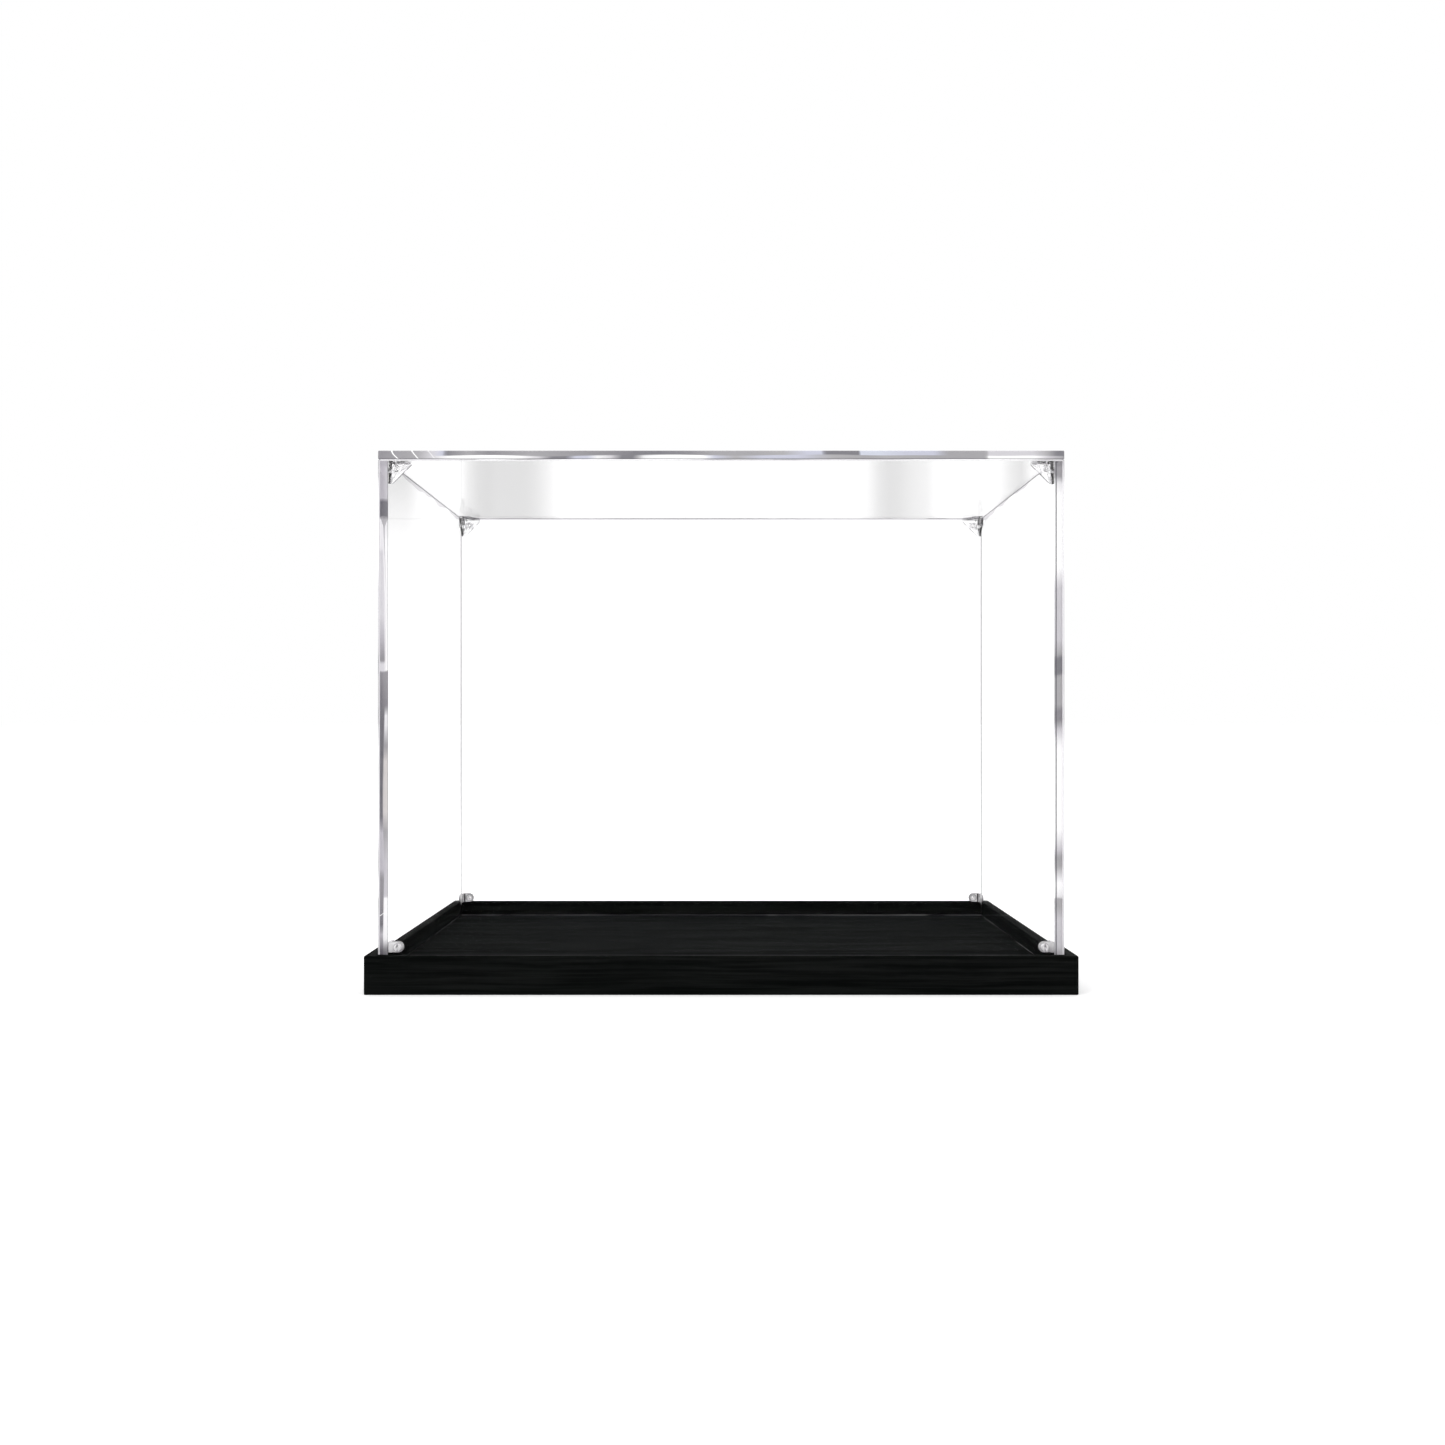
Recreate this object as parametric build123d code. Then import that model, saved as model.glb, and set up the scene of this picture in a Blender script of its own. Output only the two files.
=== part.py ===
from build123d import *
import os

# A clear display case. Five acrylic sheets make a cover with an open bottom. Clear moulded connectors
# hold the sheets: a three-way one in each top corner and an L-shaped clip low in each upright corner,
# both with split pegs that snap into holes in the sheets. The cover drops inside the raised rim of a
# black wooden tray, which is a board lipped with four mitred rails.
#
# X runs left to right, Y from front to back and Z up. The origin is the middle of the tray's underside.

# ---- Tray ----
tray_width = 330.0  # outside, along X
tray_depth = 220.0  # outside, along Y
rail_height = 18.0
rail_thickness = 5.0
board_thickness = 10.0
rail_corner_radius = 1.0  # upright outer corners
rail_top_radius = 0.7  # both long top edges of a rail
rail_foot_radius = 0.5  # outer bottom edge

# ---- Acrylic cover ----
sheet_thickness = 4.0
cover_height = 242.0  # bottom edge of the walls to the upper face of the top sheet
rim_clearance = 0.5  # cover to rim, on every side
seat_gap = 0.1  # cover to board
sheet_seam = 0.1  # between two sheets that meet
sheet_arris = 0.3  # polished chamfer on each edge of a sheet

# ---- Split pegs, the same on both connectors ----
peg_hole_radius = 1.8  # in the sheets
peg_clearance = 0.08  # between the peg's bead and the hole
peg_shank_radius = 1.55
peg_bore_radius = 0.75
peg_slot = 0.7
peg_bead_length = 0.9
peg_recess = 0.2  # the peg ends this far inside the sheet's outer face
connector_gap = 0.1  # between a connector and the sheets that it holds
moulding_radius = 0.3  # on every edge of a connector's plates and a clip's tabs

# ---- Three-way top connector ----
corner_leg = 11.0
corner_wall = 1.4
corner_tip = 2.1  # width of the blunt end of each triangular plate
corner_peg_inset = 4.3
corner_inner_radius = 0.5

# ---- L-shaped bottom clip ----
clip_leg = 7.4
clip_wall = 1.6
clip_height = 5.2
clip_rise = 0.3  # the clip's lower edge above the top of the rim
clip_inner_radius = 1.0

# ---- Places worked out from the sizes above ----
cover_width = tray_width - 2 * (rail_thickness + rim_clearance)
cover_depth = tray_depth - 2 * (rail_thickness + rim_clearance)
wall_bottom = board_thickness + seat_gap
cover_top = wall_bottom + cover_height
ceiling = cover_top - sheet_thickness
wall_top = ceiling - sheet_seam
inner_x = cover_width / 2 - sheet_thickness
inner_y = cover_depth / 2 - sheet_thickness

peg_length = connector_gap + sheet_thickness - peg_recess
corner_peg_z = ceiling - corner_peg_inset
clip_peg_inset = clip_leg - clip_height / 2
clip_z = rail_height + clip_rise + clip_height / 2

# Each corner of the case: its name, the signs of its X and Y, and the turn about Z that brings a
# connector made for the front left corner to it.
CORNERS = [
    ("front_left", -1, -1, 0),
    ("front_right", 1, -1, 90),
    ("back_right", 1, 1, 180),
    ("back_left", -1, 1, 270),
]


def block(x_span, y_span, z_span):
    """A box from its low and high coordinates on each axis."""
    low = (x_span[0], y_span[0], z_span[0])
    size = [span[1] - span[0] for span in (x_span, y_span, z_span)]
    return Pos(*low) * Box(*size, align=Align.MIN)


# ---- Tray ----


def rail_ring():
    """The four rails as one ring, with every edge eased, before the mitres are cut."""
    ring = Box(tray_width, tray_depth, rail_height, align=(Align.CENTER, Align.CENTER, Align.MIN))
    ring = fillet(ring.edges().filter_by(Axis.Z), rail_corner_radius)
    ring = fillet(ring.faces().sort_by(Axis.Z)[0].edges(), rail_foot_radius)
    ring = fillet(ring.faces().sort_by(Axis.Z)[-1].edges(), rail_top_radius)
    opening_width = tray_width - 2 * rail_thickness
    opening_depth = tray_depth - 2 * rail_thickness
    well = Pos(0, 0, rail_height / 2) * Box(opening_width, opening_depth, 2 * rail_height)
    ring = ring - well
    inner_edges = [
        edge
        for edge in ring.faces().sort_by(Axis.Z)[-1].edges()
        if abs(edge.center().X) <= opening_width / 2 and abs(edge.center().Y) <= opening_depth / 2
    ]
    return fillet(inner_edges, rail_top_radius)


def mitre_sector(along, across, turn):
    """The upright prism that a rail fills: its ends run at 45 degrees through the tray's corners."""
    reach = 2 * rail_thickness
    outline = Polyline(
        (-along / 2 - reach, -across / 2 - reach),
        (along / 2 + reach, -across / 2 - reach),
        (along / 2 - reach, -across / 2 + reach),
        (-along / 2 + reach, -across / 2 + reach),
        close=True,
    )
    return Rot(0, 0, turn) * extrude(make_face(outline), amount=rail_height)


def rails():
    """The front, right, back and left rail, cut from the ring at the mitres."""
    ring = rail_ring()
    sectors = {
        "front_rail": mitre_sector(tray_width, tray_depth, 0),
        "right_rail": mitre_sector(tray_depth, tray_width, 90),
        "back_rail": mitre_sector(tray_width, tray_depth, 180),
        "left_rail": mitre_sector(tray_depth, tray_width, 270),
    }
    return {name: ring & sector for name, sector in sectors.items()}


def floor_board():
    """The board that the rails are glued round. Its top is the display floor."""
    half_width = tray_width / 2 - rail_thickness
    half_depth = tray_depth / 2 - rail_thickness
    return block((-half_width, half_width), (-half_depth, half_depth), (0, board_thickness))


# ---- Acrylic cover ----


def peg_holes(centres, axis):
    """Holes for split pegs, along the named axis, through any sheet that they reach."""
    turns = {"X": Rot(0, 90, 0), "Y": Rot(90, 0, 0), "Z": Rot(0, 0, 0)}
    drill = turns[axis] * Cylinder(peg_hole_radius, 4 * sheet_thickness)
    return [Pos(*centre) * drill for centre in centres]


def sheet(x_span, y_span, z_span, holes):
    """One acrylic sheet with a chamfer on each edge and its peg holes."""
    blank = block(x_span, y_span, z_span)
    return chamfer(blank.edges(), sheet_arris) - holes


def top_sheet():
    """The sheet that lies over all four walls."""
    x, y = inner_x - corner_peg_inset, inner_y - corner_peg_inset
    centres = [(sx * x, sy * y, cover_top) for _, sx, sy, _ in CORNERS]
    return sheet(
        (-cover_width / 2, cover_width / 2),
        (-cover_depth / 2, cover_depth / 2),
        (ceiling, cover_top),
        peg_holes(centres, "Z"),
    )


def long_wall(side):
    """The front sheet (side -1) or the back sheet (side 1), as wide as the cover."""
    faces = sorted((side * inner_y, side * cover_depth / 2))
    upper = [(sx * (inner_x - corner_peg_inset), faces[0], corner_peg_z) for sx in (-1, 1)]
    lower = [(sx * (inner_x - clip_peg_inset), faces[0], clip_z) for sx in (-1, 1)]
    return sheet(
        (-cover_width / 2, cover_width / 2),
        faces,
        (wall_bottom, wall_top),
        peg_holes(upper + lower, "Y"),
    )


def short_wall(side):
    """The left sheet (side -1) or the right sheet (side 1), between the front and back sheets."""
    faces = sorted((side * inner_x, side * cover_width / 2))
    half_depth = inner_y - sheet_seam
    upper = [(faces[0], sy * (inner_y - corner_peg_inset), corner_peg_z) for sy in (-1, 1)]
    lower = [(faces[0], sy * (inner_y - clip_peg_inset), clip_z) for sy in (-1, 1)]
    return sheet(
        faces,
        (-half_depth, half_depth),
        (wall_bottom, wall_top),
        peg_holes(upper + lower, "X"),
    )


# ---- Connectors ----


def split_peg():
    """A hollow split peg that stands on the XY plane and points up, with a bead round its end."""
    shank = Pos(0, 0, peg_length / 2) * Cylinder(peg_shank_radius, peg_length)
    bead_radius = peg_hole_radius - peg_clearance
    bead = Pos(0, 0, peg_length - peg_bead_length / 2) * Cylinder(bead_radius, peg_bead_length)
    bead = chamfer(bead.edges().filter_by(GeomType.CIRCLE), bead_radius - peg_shank_radius)
    slot = Pos(0, 0, peg_length / 2) * Box(peg_slot, 3 * peg_hole_radius, peg_length)
    return shank + bead - slot


def peg_cores(depth):
    """The round core that runs up the middle of a peg and through the plate behind it."""
    reach = peg_length + 2 * depth
    return Pos(0, 0, peg_length - reach / 2) * Cylinder(peg_bore_radius, reach)


def corner_plate():
    """One triangular plate of the three-way connector, below the XY plane, in its first quadrant."""
    start = connector_gap
    outline = Polyline(
        (start, start),
        (corner_leg, start),
        (corner_leg, start + corner_tip),
        (start + corner_tip, corner_leg),
        (start, corner_leg),
        close=True,
    )
    return Pos(0, 0, -connector_gap) * extrude(make_face(outline), amount=-corner_wall)


def top_connector():
    """The three-way connector, made for a top corner at the origin with the case in +X, +Y and -Z."""
    ceiling_plate = corner_plate()
    front_plate = Rot(-90, 0, 0) * mirror(ceiling_plate, about=Plane.XY)
    side_plate = Rot(0, 90, 0) * mirror(ceiling_plate, about=Plane.XY)
    body = ceiling_plate + front_plate + side_plate
    inner_corner = connector_gap + corner_wall
    body = fillet(concave_edges(body, inner_corner), corner_inner_radius)
    body = fillet(body.edges(), moulding_radius)
    inset = corner_peg_inset
    seats = [
        Pos(inset, inset, -connector_gap),
        Pos(inset, connector_gap, -inset) * Rot(90, 0, 0),
        Pos(connector_gap, inset, -inset) * Rot(0, -90, 0) * Rot(0, 0, 90),
    ]
    for seat in seats:
        body = body + seat * split_peg() - seat * peg_cores(corner_wall)
    return body


def concave_edges(body, inner_corner):
    """The straight edges where two plates meet, on the side towards the inside of the case."""
    tolerance = 0.001
    found = []
    for edge in body.edges().filter_by(GeomType.LINE):
        centre = edge.center()
        at_corner = [
            abs(centre.X - inner_corner) < tolerance,
            abs(centre.Y - inner_corner) < tolerance,
            abs(centre.Z + inner_corner) < tolerance,
        ]
        if sum(at_corner) == 2:
            found.append(edge)
    return found


def clip_tab():
    """One tab of the bottom clip, against a sheet on the plane Y = 0, running along +X."""
    start = connector_gap
    half = clip_height / 2
    straight = block((start, clip_leg - half), (start, start + clip_wall), (-half, half))
    nose = Rot(90, 0, 0) * Cylinder(half, clip_wall)
    return straight + Pos(clip_leg - half, start + clip_wall / 2, 0) * nose


def bottom_clip():
    """The L-shaped clip, made for an upright corner at the origin with the case in +X and +Y."""
    front_tab = clip_tab()
    side_tab = Rot(0, 0, 90) * mirror(front_tab, about=Plane.XZ)
    body = front_tab + side_tab
    inner_corner = connector_gap + clip_wall
    inner_edge = [
        edge
        for edge in body.edges().filter_by(Axis.Z)
        if abs(edge.center().X - inner_corner) < 0.001 and abs(edge.center().Y - inner_corner) < 0.001
    ]
    body = fillet(inner_edge, clip_inner_radius)
    body = fillet(body.edges(), moulding_radius)
    seats = [
        Pos(clip_peg_inset, connector_gap, 0) * Rot(90, 0, 0),
        Pos(connector_gap, clip_peg_inset, 0) * Rot(0, -90, 0) * Rot(0, 0, 90),
    ]
    for seat in seats:
        body = body + seat * split_peg() - seat * peg_cores(clip_wall)
    return body


def at_corners(piece, height, prefix):
    """A connector turned and moved to each of the four corners."""
    return {
        f"{prefix}_{name}": Pos(sx * inner_x, sy * inner_y, height) * Rot(0, 0, turn) * piece
        for name, sx, sy, turn in CORNERS
    }


# ---- The whole case, one file for each sub-part ----

nodes = {
    **rails(),
    "floor_board": floor_board(),
    "top_sheet": top_sheet(),
    "front_sheet": long_wall(-1),
    "back_sheet": long_wall(1),
    "left_sheet": short_wall(-1),
    "right_sheet": short_wall(1),
    **at_corners(top_connector(), ceiling, "top_connector"),
    **at_corners(bottom_clip(), clip_z, "bottom_clip"),
}

os.makedirs("parts", exist_ok=True)
for name, shape in nodes.items():
    export_step(shape, f"parts/{name}.step")
    print(name, "volume", round(shape.volume, 2), "solids", len(shape.solids()))
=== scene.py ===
# %% [markdown]
# # A clear display case on a black wooden tray
#
# The case is a five-sided acrylic cover that stands inside the raised rim of a painted tray.
# Clear moulded connectors hold the sheets together from inside. The construction comes from a
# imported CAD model, so this notebook adds the looks: the camera and studio, the painted wood, the
# clear sheets, and the moulded connectors.

# %% Load the frame
import math

import bmesh
import bpy
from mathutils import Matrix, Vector


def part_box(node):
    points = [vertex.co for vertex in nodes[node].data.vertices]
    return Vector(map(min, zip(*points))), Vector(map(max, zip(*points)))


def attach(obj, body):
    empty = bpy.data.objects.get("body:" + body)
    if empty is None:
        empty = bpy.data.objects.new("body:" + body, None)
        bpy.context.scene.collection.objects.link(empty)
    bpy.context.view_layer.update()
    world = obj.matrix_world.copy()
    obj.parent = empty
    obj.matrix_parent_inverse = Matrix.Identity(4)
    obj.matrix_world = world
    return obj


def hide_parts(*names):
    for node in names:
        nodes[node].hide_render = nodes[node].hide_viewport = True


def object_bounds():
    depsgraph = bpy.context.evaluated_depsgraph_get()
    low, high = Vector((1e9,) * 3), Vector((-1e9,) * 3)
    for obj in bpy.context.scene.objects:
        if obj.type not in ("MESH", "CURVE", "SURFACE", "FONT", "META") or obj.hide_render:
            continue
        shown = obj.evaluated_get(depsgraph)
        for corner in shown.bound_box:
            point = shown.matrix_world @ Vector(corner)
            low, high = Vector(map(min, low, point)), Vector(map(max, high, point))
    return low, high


MM = 0.001
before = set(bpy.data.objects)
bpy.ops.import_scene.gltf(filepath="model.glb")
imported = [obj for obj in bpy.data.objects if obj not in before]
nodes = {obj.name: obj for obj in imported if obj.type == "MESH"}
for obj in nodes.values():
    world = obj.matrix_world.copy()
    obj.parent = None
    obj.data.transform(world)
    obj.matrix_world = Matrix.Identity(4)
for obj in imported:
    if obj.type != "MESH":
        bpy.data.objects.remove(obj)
cad_low, cad_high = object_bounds()
print("case, in mm:", [round(side / MM, 1) for side in cad_high - cad_low])


def new_object(name, data):
    """An object with its data, in the scene."""
    made = bpy.data.objects.new(name, data)
    bpy.context.collection.objects.link(made)
    return made


# %% [markdown]
# ## Camera
#
# The case is seen straight from the front, with the camera level and at about half its height. A
# level camera keeps upright edges upright. It is close enough for the tray's floor and the
# underside of the top sheet to open up. A small shift puts the case just left of the middle.

# %% Camera
CAMERA_HEIGHT = 125.7 * MM
CAMERA_TO_TRAY = 696.6 * MM  # from the lens to the front of the tray
SENSOR_WIDTH = 36.0  # in millimetres, as the lens is
LENS = 37.64
VIEW_SHIFT = 0.0009  # to the right, as a share of the view's width
FURTHEST_SEEN = 200.0

camera_data = bpy.data.cameras.new("camera")
camera_data.lens = LENS
camera_data.shift_x = VIEW_SHIFT
camera_data.sensor_width = SENSOR_WIDTH
camera_data.clip_end = FURTHEST_SEEN
camera = new_object("camera", camera_data)
camera.location = (0.0, cad_low.y - CAMERA_TO_TRAY, CAMERA_HEIGHT)
camera.rotation_euler = (math.radians(90), 0.0, 0.0)
bpy.context.scene.camera = camera
bpy.context.scene.view_settings.view_transform = "Standard"
print("camera stands at", [round(value, 3) for value in camera.location])

# %% [markdown]
# ## Small helpers for node trees
#
# Every material below is a node tree that is written in code. A few helpers keep that short. One
# adds a node and fills its inputs, with plain values or with other nodes' outputs. The rest wrap
# the nodes that come up most, and find their tree through the outputs that they take up. A colour
# is always three numbers: red, green and blue.

# %% Node helpers
WHITE = (1.0, 1.0, 1.0)
BLACK = (0.0, 0.0, 0.0)


def fill(socket, value):
    """Links an input to another node's output, or sets it to a plain value."""
    if isinstance(value, bpy.types.NodeSocket):
        socket.id_data.links.new(value, socket)
    elif socket.type == "RGBA":
        socket.default_value = (*value, 1.0)
    else:
        socket.default_value = value


def add_node(tree, kind, inputs=None, **settings):
    """The outputs of a new node, which gets its settings and its inputs."""
    node = tree.nodes.new(kind)
    for name, value in settings.items():
        setattr(node, name, value)
    for key, value in (inputs or {}).items():
        fill(node.inputs[key], value)
    return node.outputs


def follow(kind, inputs, **settings):
    """The outputs of a new node in the tree of the outputs that it takes up."""
    taken = [value for value in inputs.values() if isinstance(value, bpy.types.NodeSocket)]
    return add_node(taken[0].id_data, kind, inputs, **settings)


def maths(operation, first, second=0.0, third=0.0):
    """The result of a Math node."""
    inputs = {0: first, 1: second, 2: third}
    return follow("ShaderNodeMath", inputs, operation=operation)[0]


def times(first, second):
    """One value times another."""
    return maths("MULTIPLY", first, second)


def minus(first, second):
    """One value less another."""
    return maths("SUBTRACT", first, second)


def vector_maths(operation, first, second=BLACK):
    """The result of a Vector Math node."""
    return follow("ShaderNodeVectorMath", {0: first, 1: second}, operation=operation)[0]


def separate(vector):
    """The X, Y and Z of a vector."""
    return follow("ShaderNodeSeparateXYZ", {0: vector})


def mapping(place, **changes):
    """A place that is moved, turned and stretched."""
    return follow("ShaderNodeMapping", {"Vector": place, **changes})[0]


def length(first, second):
    """How long a line is that goes this far one way and that far the other."""
    squares = [maths("POWER", value, 2.0) for value in (first, second)]
    return maths("SQRT", maths("ADD", *squares))


def ramp(value, low, high, to_low=0.0, to_high=1.0, smooth=False):
    """A value that goes from to_low to to_high as the input goes from low to high."""
    inputs = {"Value": value, "From Min": low, "From Max": high, "To Min": to_low, "To Max": to_high}
    kind = "SMOOTHSTEP" if smooth else "LINEAR"
    return follow("ShaderNodeMapRange", inputs, interpolation_type=kind)["Result"]


def between(value, low, high, soft):
    """A mask for the values from low to high, with a soft border."""
    above = ramp(value, low - soft, low + soft, smooth=True)
    below = ramp(value, high - soft, high + soft, 1.0, 0.0, smooth=True)
    return times(above, below)


def mix(share, first, second):
    """The first value where share is 0 and the second where it is 1."""
    return follow("ShaderNodeMix", {0: share, 2: first, 3: second})[0]


def blend(share, first, second):
    """The first colour where share is 0 and the second where it is 1."""
    inputs = {0: share, 6: first, 7: second}
    return follow("ShaderNodeMix", inputs, data_type="RGBA")[2]


def colour_ramp(value, stops):
    """The colour at a value, between stops that are colours or plain numbers for greys."""
    colours = follow("ShaderNodeValToRGB", {"Fac": value})["Color"]
    made = colours.node.color_ramp.elements
    while len(made) < len(stops):
        made.new(0.5)
    for stop, (place, colour) in zip(made, stops):
        stop.position = place
        stop.color = (*(colour if isinstance(colour, tuple) else (colour,) * 3), 1.0)
    return colours


def noise(place, scale, detail=1.0, roughness=0.5):
    """A noise with so many waves to the metre. Most of its values are from 0.3 to 0.7."""
    inputs = {"Vector": place, "Scale": scale, "Detail": detail, "Roughness": roughness}
    return follow("ShaderNodeTexNoise", inputs)["Fac"]


def bump(height, strength, depth):
    """The surface's direction, with the small bumps of a height from 0 to 1."""
    inputs = {"Strength": strength, "Distance": depth, "Height": height}
    return follow("ShaderNodeBump", inputs)[0]


# %% [markdown]
# Effects that turn up in more than one finish are node groups. A group is built once, and each
# material places it with its own values.

# %% Group and material helpers
VECTOR = ("Vector", BLACK)  # a group's input that is a place or a direction


def new_group(name, inputs, outputs):
    """A shader node group with named sockets, and its input and output nodes."""
    group = bpy.data.node_groups.new(name, "ShaderNodeTree")
    face = group.interface
    for socket, (kind, value) in inputs.items():
        made = face.new_socket(socket, in_out="INPUT", socket_type="NodeSocket" + kind)
        made.default_value = value
    for socket in outputs:
        face.new_socket(socket, in_out="OUTPUT", socket_type="NodeSocketFloat")
    given = group.nodes.new("NodeGroupInput").outputs
    result = group.nodes.new("NodeGroupOutput").inputs
    return group, given, result


def use_group(group, **inputs):
    """The outputs of a group that is placed in a material with its own values."""
    inputs = {name.replace("_", " "): value for name, value in inputs.items()}
    return follow("ShaderNodeGroup", inputs, node_tree=group)


def new_material(name):
    """An empty material, with its tree and the inputs of its output node."""
    material = bpy.data.materials.new(name)
    material.use_nodes = True
    tree = material.node_tree
    tree.nodes.clear()
    return material, tree, tree.nodes.new("ShaderNodeOutputMaterial").inputs


def paint_node(node_name, material):
    """Gives a CAD node one material."""
    mesh = nodes[node_name].data
    mesh.materials.clear()
    mesh.materials.append(material)


# %% [markdown]
# ## Studio
#
# A clear case is lit by what stands behind it. The world is an even soft light for every matt
# surface. For the camera, for reflections and for what is seen through the acrylic it is a white
# backdrop instead. The room behind the camera is dim, so that the front sheet doesn't mirror it,
# and overhead it is grey, because clear edges bend the view upwards and take their outline from
# there. A few soft grey cards stand round the backdrop, high up, and repeat every quarter turn.
# They show as quiet bands on the underside of the top sheet, and end along a line that follows its
# back edge, so the walls stay white, apart from one fainter card low at the left.

# %% World
SOFT_LIGHT = 0.85  # strength of the even light on matt surfaces
THROUGH_CLEAR = 1.12  # strength of the backdrop seen through sheets, which makes up for their loss
FRONT_GREY = 0.50  # brightness of the room behind the camera, in reflections
BEHIND_CAMERA = (-0.6, 0.2)  # how far a view points along Y where that is full, and where it ends
HIGH_GREY = 0.70  # brightness of the room overhead, seen through or in clear parts
OVERHEAD = (0.25, 0.70)  # how far a view points up where that begins, and where it is full
HALF_QUARTER = 45.0  # half of a quarter turn, in degrees
# Where the cards stand, in degrees from straight ahead, and how bright the backdrop is there.
GREY_CARDS = [
    (-45.0, 1.0), (-9.9, 1.0), (-9.4, 0.66), (-8.85, 0.56), (-8.65, 0.63), (-8.45, 0.61),
    (-7.4, 0.61), (-6.9, 0.68), (-6.3, 0.87), (-6.0, 1.0), (4.9, 1.0), (5.4, 0.93), (5.9, 0.70),
    (6.3, 0.62), (6.75, 0.64), (7.1, 0.71), (7.85, 0.79), (8.3, 1.0), (10.2, 1.0), (10.7, 0.78),
    (11.1, 0.65), (11.45, 0.64), (11.7, 1.0), (45.0, 1.0),
]
# The line where the cards end is level ahead, and rises between these degrees to each side.
CARD_LINE_TURN = (9.87, 12.4)
CARD_LINE_HEIGHT = (0.1323, 0.1663)
CARD_LINE_SOFTNESS = 0.0011
# The fainter card stands below that line. It fades out at its right end between these degrees, and
# it fades in upwards by the height of the view.
LOW_CARD_SHADE = 0.36
LOW_CARD_START = -20.0
LOW_CARD_END = (-11.9, -10.9)
LOW_CARD_HEIGHT = (0.105, 0.160)


def quarter_turn(part):
    """The direction of the view round Z, in radians from the nearest of four."""
    turn = maths("ARCTAN2", part["X"], part["Y"])
    return maths("WRAP", turn, math.radians(HALF_QUARTER), -math.radians(HALF_QUARTER))


def above_card_line(turn, height):
    """A mask for the views above the line where the cards end."""
    start, end = [math.radians(degrees) for degrees in CARD_LINE_TURN]
    line = ramp(maths("ABSOLUTE", turn), start, end, *CARD_LINE_HEIGHT)
    return ramp(minus(height, line), -CARD_LINE_SOFTNESS, CARD_LINE_SOFTNESS, smooth=True)


def card_bands(turn):
    """The brightness of the backdrop by the direction of the view round Z."""
    half, width = math.radians(HALF_QUARTER), 2 * HALF_QUARTER
    stops = [((degrees + HALF_QUARTER) / width, grey) for degrees, grey in GREY_CARDS]
    return colour_ramp(ramp(turn, -half, half), stops)


def low_card(part):
    """How bright the backdrop is on the fainter card."""
    turn = maths("ARCTAN2", part["X"], part["Y"])
    left, right = [math.radians(degrees) for degrees in LOW_CARD_END]
    shade = ramp(turn, left, right, LOW_CARD_SHADE, 0.0, smooth=True)
    shade = times(shade, ramp(part["Z"], *LOW_CARD_HEIGHT))
    in_front = maths("GREATER_THAN", turn, math.radians(LOW_CARD_START))
    return minus(1.0, times(shade, in_front))


def studio_world():
    """White for the camera, cards and greys for the clear parts, soft light for the rest."""
    world = bpy.data.worlds.new("studio")
    world.use_nodes = True
    tree = world.node_tree
    tree.nodes.clear()
    path = add_node(tree, "ShaderNodeLightPath")
    part = separate(add_node(tree, "ShaderNodeTexCoord")["Generated"])
    turn = quarter_turn(part)
    cards = mix(above_card_line(turn, part["Z"]), low_card(part), card_bands(turn))
    overhead = ramp(part["Z"], *OVERHEAD, 1.0, HIGH_GREY, smooth=True)
    backdrop = times(cards, overhead)
    behind_camera = ramp(part["Y"], *BEHIND_CAMERA, FRONT_GREY, 1.0, smooth=True)
    mirrored = times(backdrop, behind_camera)
    through = times(backdrop, THROUGH_CLEAR)
    seen = mix(path["Is Transmission Ray"], mirrored, through)
    clear_view = maths("MAXIMUM", path["Is Glossy Ray"], path["Is Transmission Ray"])
    strength = mix(clear_view, SOFT_LIGHT, seen)
    strength = mix(path["Is Camera Ray"], strength, 1.0)
    light = add_node(tree, "ShaderNodeBackground", {"Color": WHITE, "Strength": strength})[0]
    fill(tree.nodes.new("ShaderNodeOutputWorld").inputs["Surface"], light)
    return world


bpy.context.scene.world = studio_world()
print("grey cards at", [degrees for degrees, grey in GREY_CARDS if grey < 0.7], "degrees")

# %% [markdown]
# Two soft boxes shape the light: a large one overhead and a smaller one at the front left. Both
# are large beside the case, so that its shadow on the table stays faint and soft-edged.

# %% Soft boxes
AIM = Vector((0.0, 0.0, 0.1))  # a place in the case that both boxes face


def soft_box(name, place, size, power):
    """A square area light."""
    lamp = bpy.data.lights.new(name, "AREA")
    lamp.size = size
    lamp.energy = power
    box = new_object(name, lamp)
    box.location = place
    box.rotation_euler = (AIM - Vector(place)).to_track_quat("-Z", "Y").to_euler()
    print(name, "at", [round(value, 2) for value in place], "with", power, "W")


soft_box("overhead_box", place=(0.0, 0.25, 1.5), size=1.4, power=6.0)
soft_box("front_box", place=(-1.1, -1.3, 0.9), size=0.9, power=9.0)

# %% [markdown]
# The table is one very large pale plane. It glows a little for the camera and for the clear parts,
# so that it meets the white backdrop without a horizon. The case's shadow still shows on it.

# %% Table
TABLE_COLOUR = (0.84, 0.84, 0.84)
TABLE_LIFT = 0.30  # the strength of its glow for the camera
TABLE_LIFT_MIRRORED = 0.10  # in reflections
TABLE_LIFT_THROUGH = 0.38  # through the clear sheets, which makes up for their loss
TABLE_HALF = 90.0
TABLE_GAP = 0.02 * MM  # keeps the table clear of the tray's underside


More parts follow.
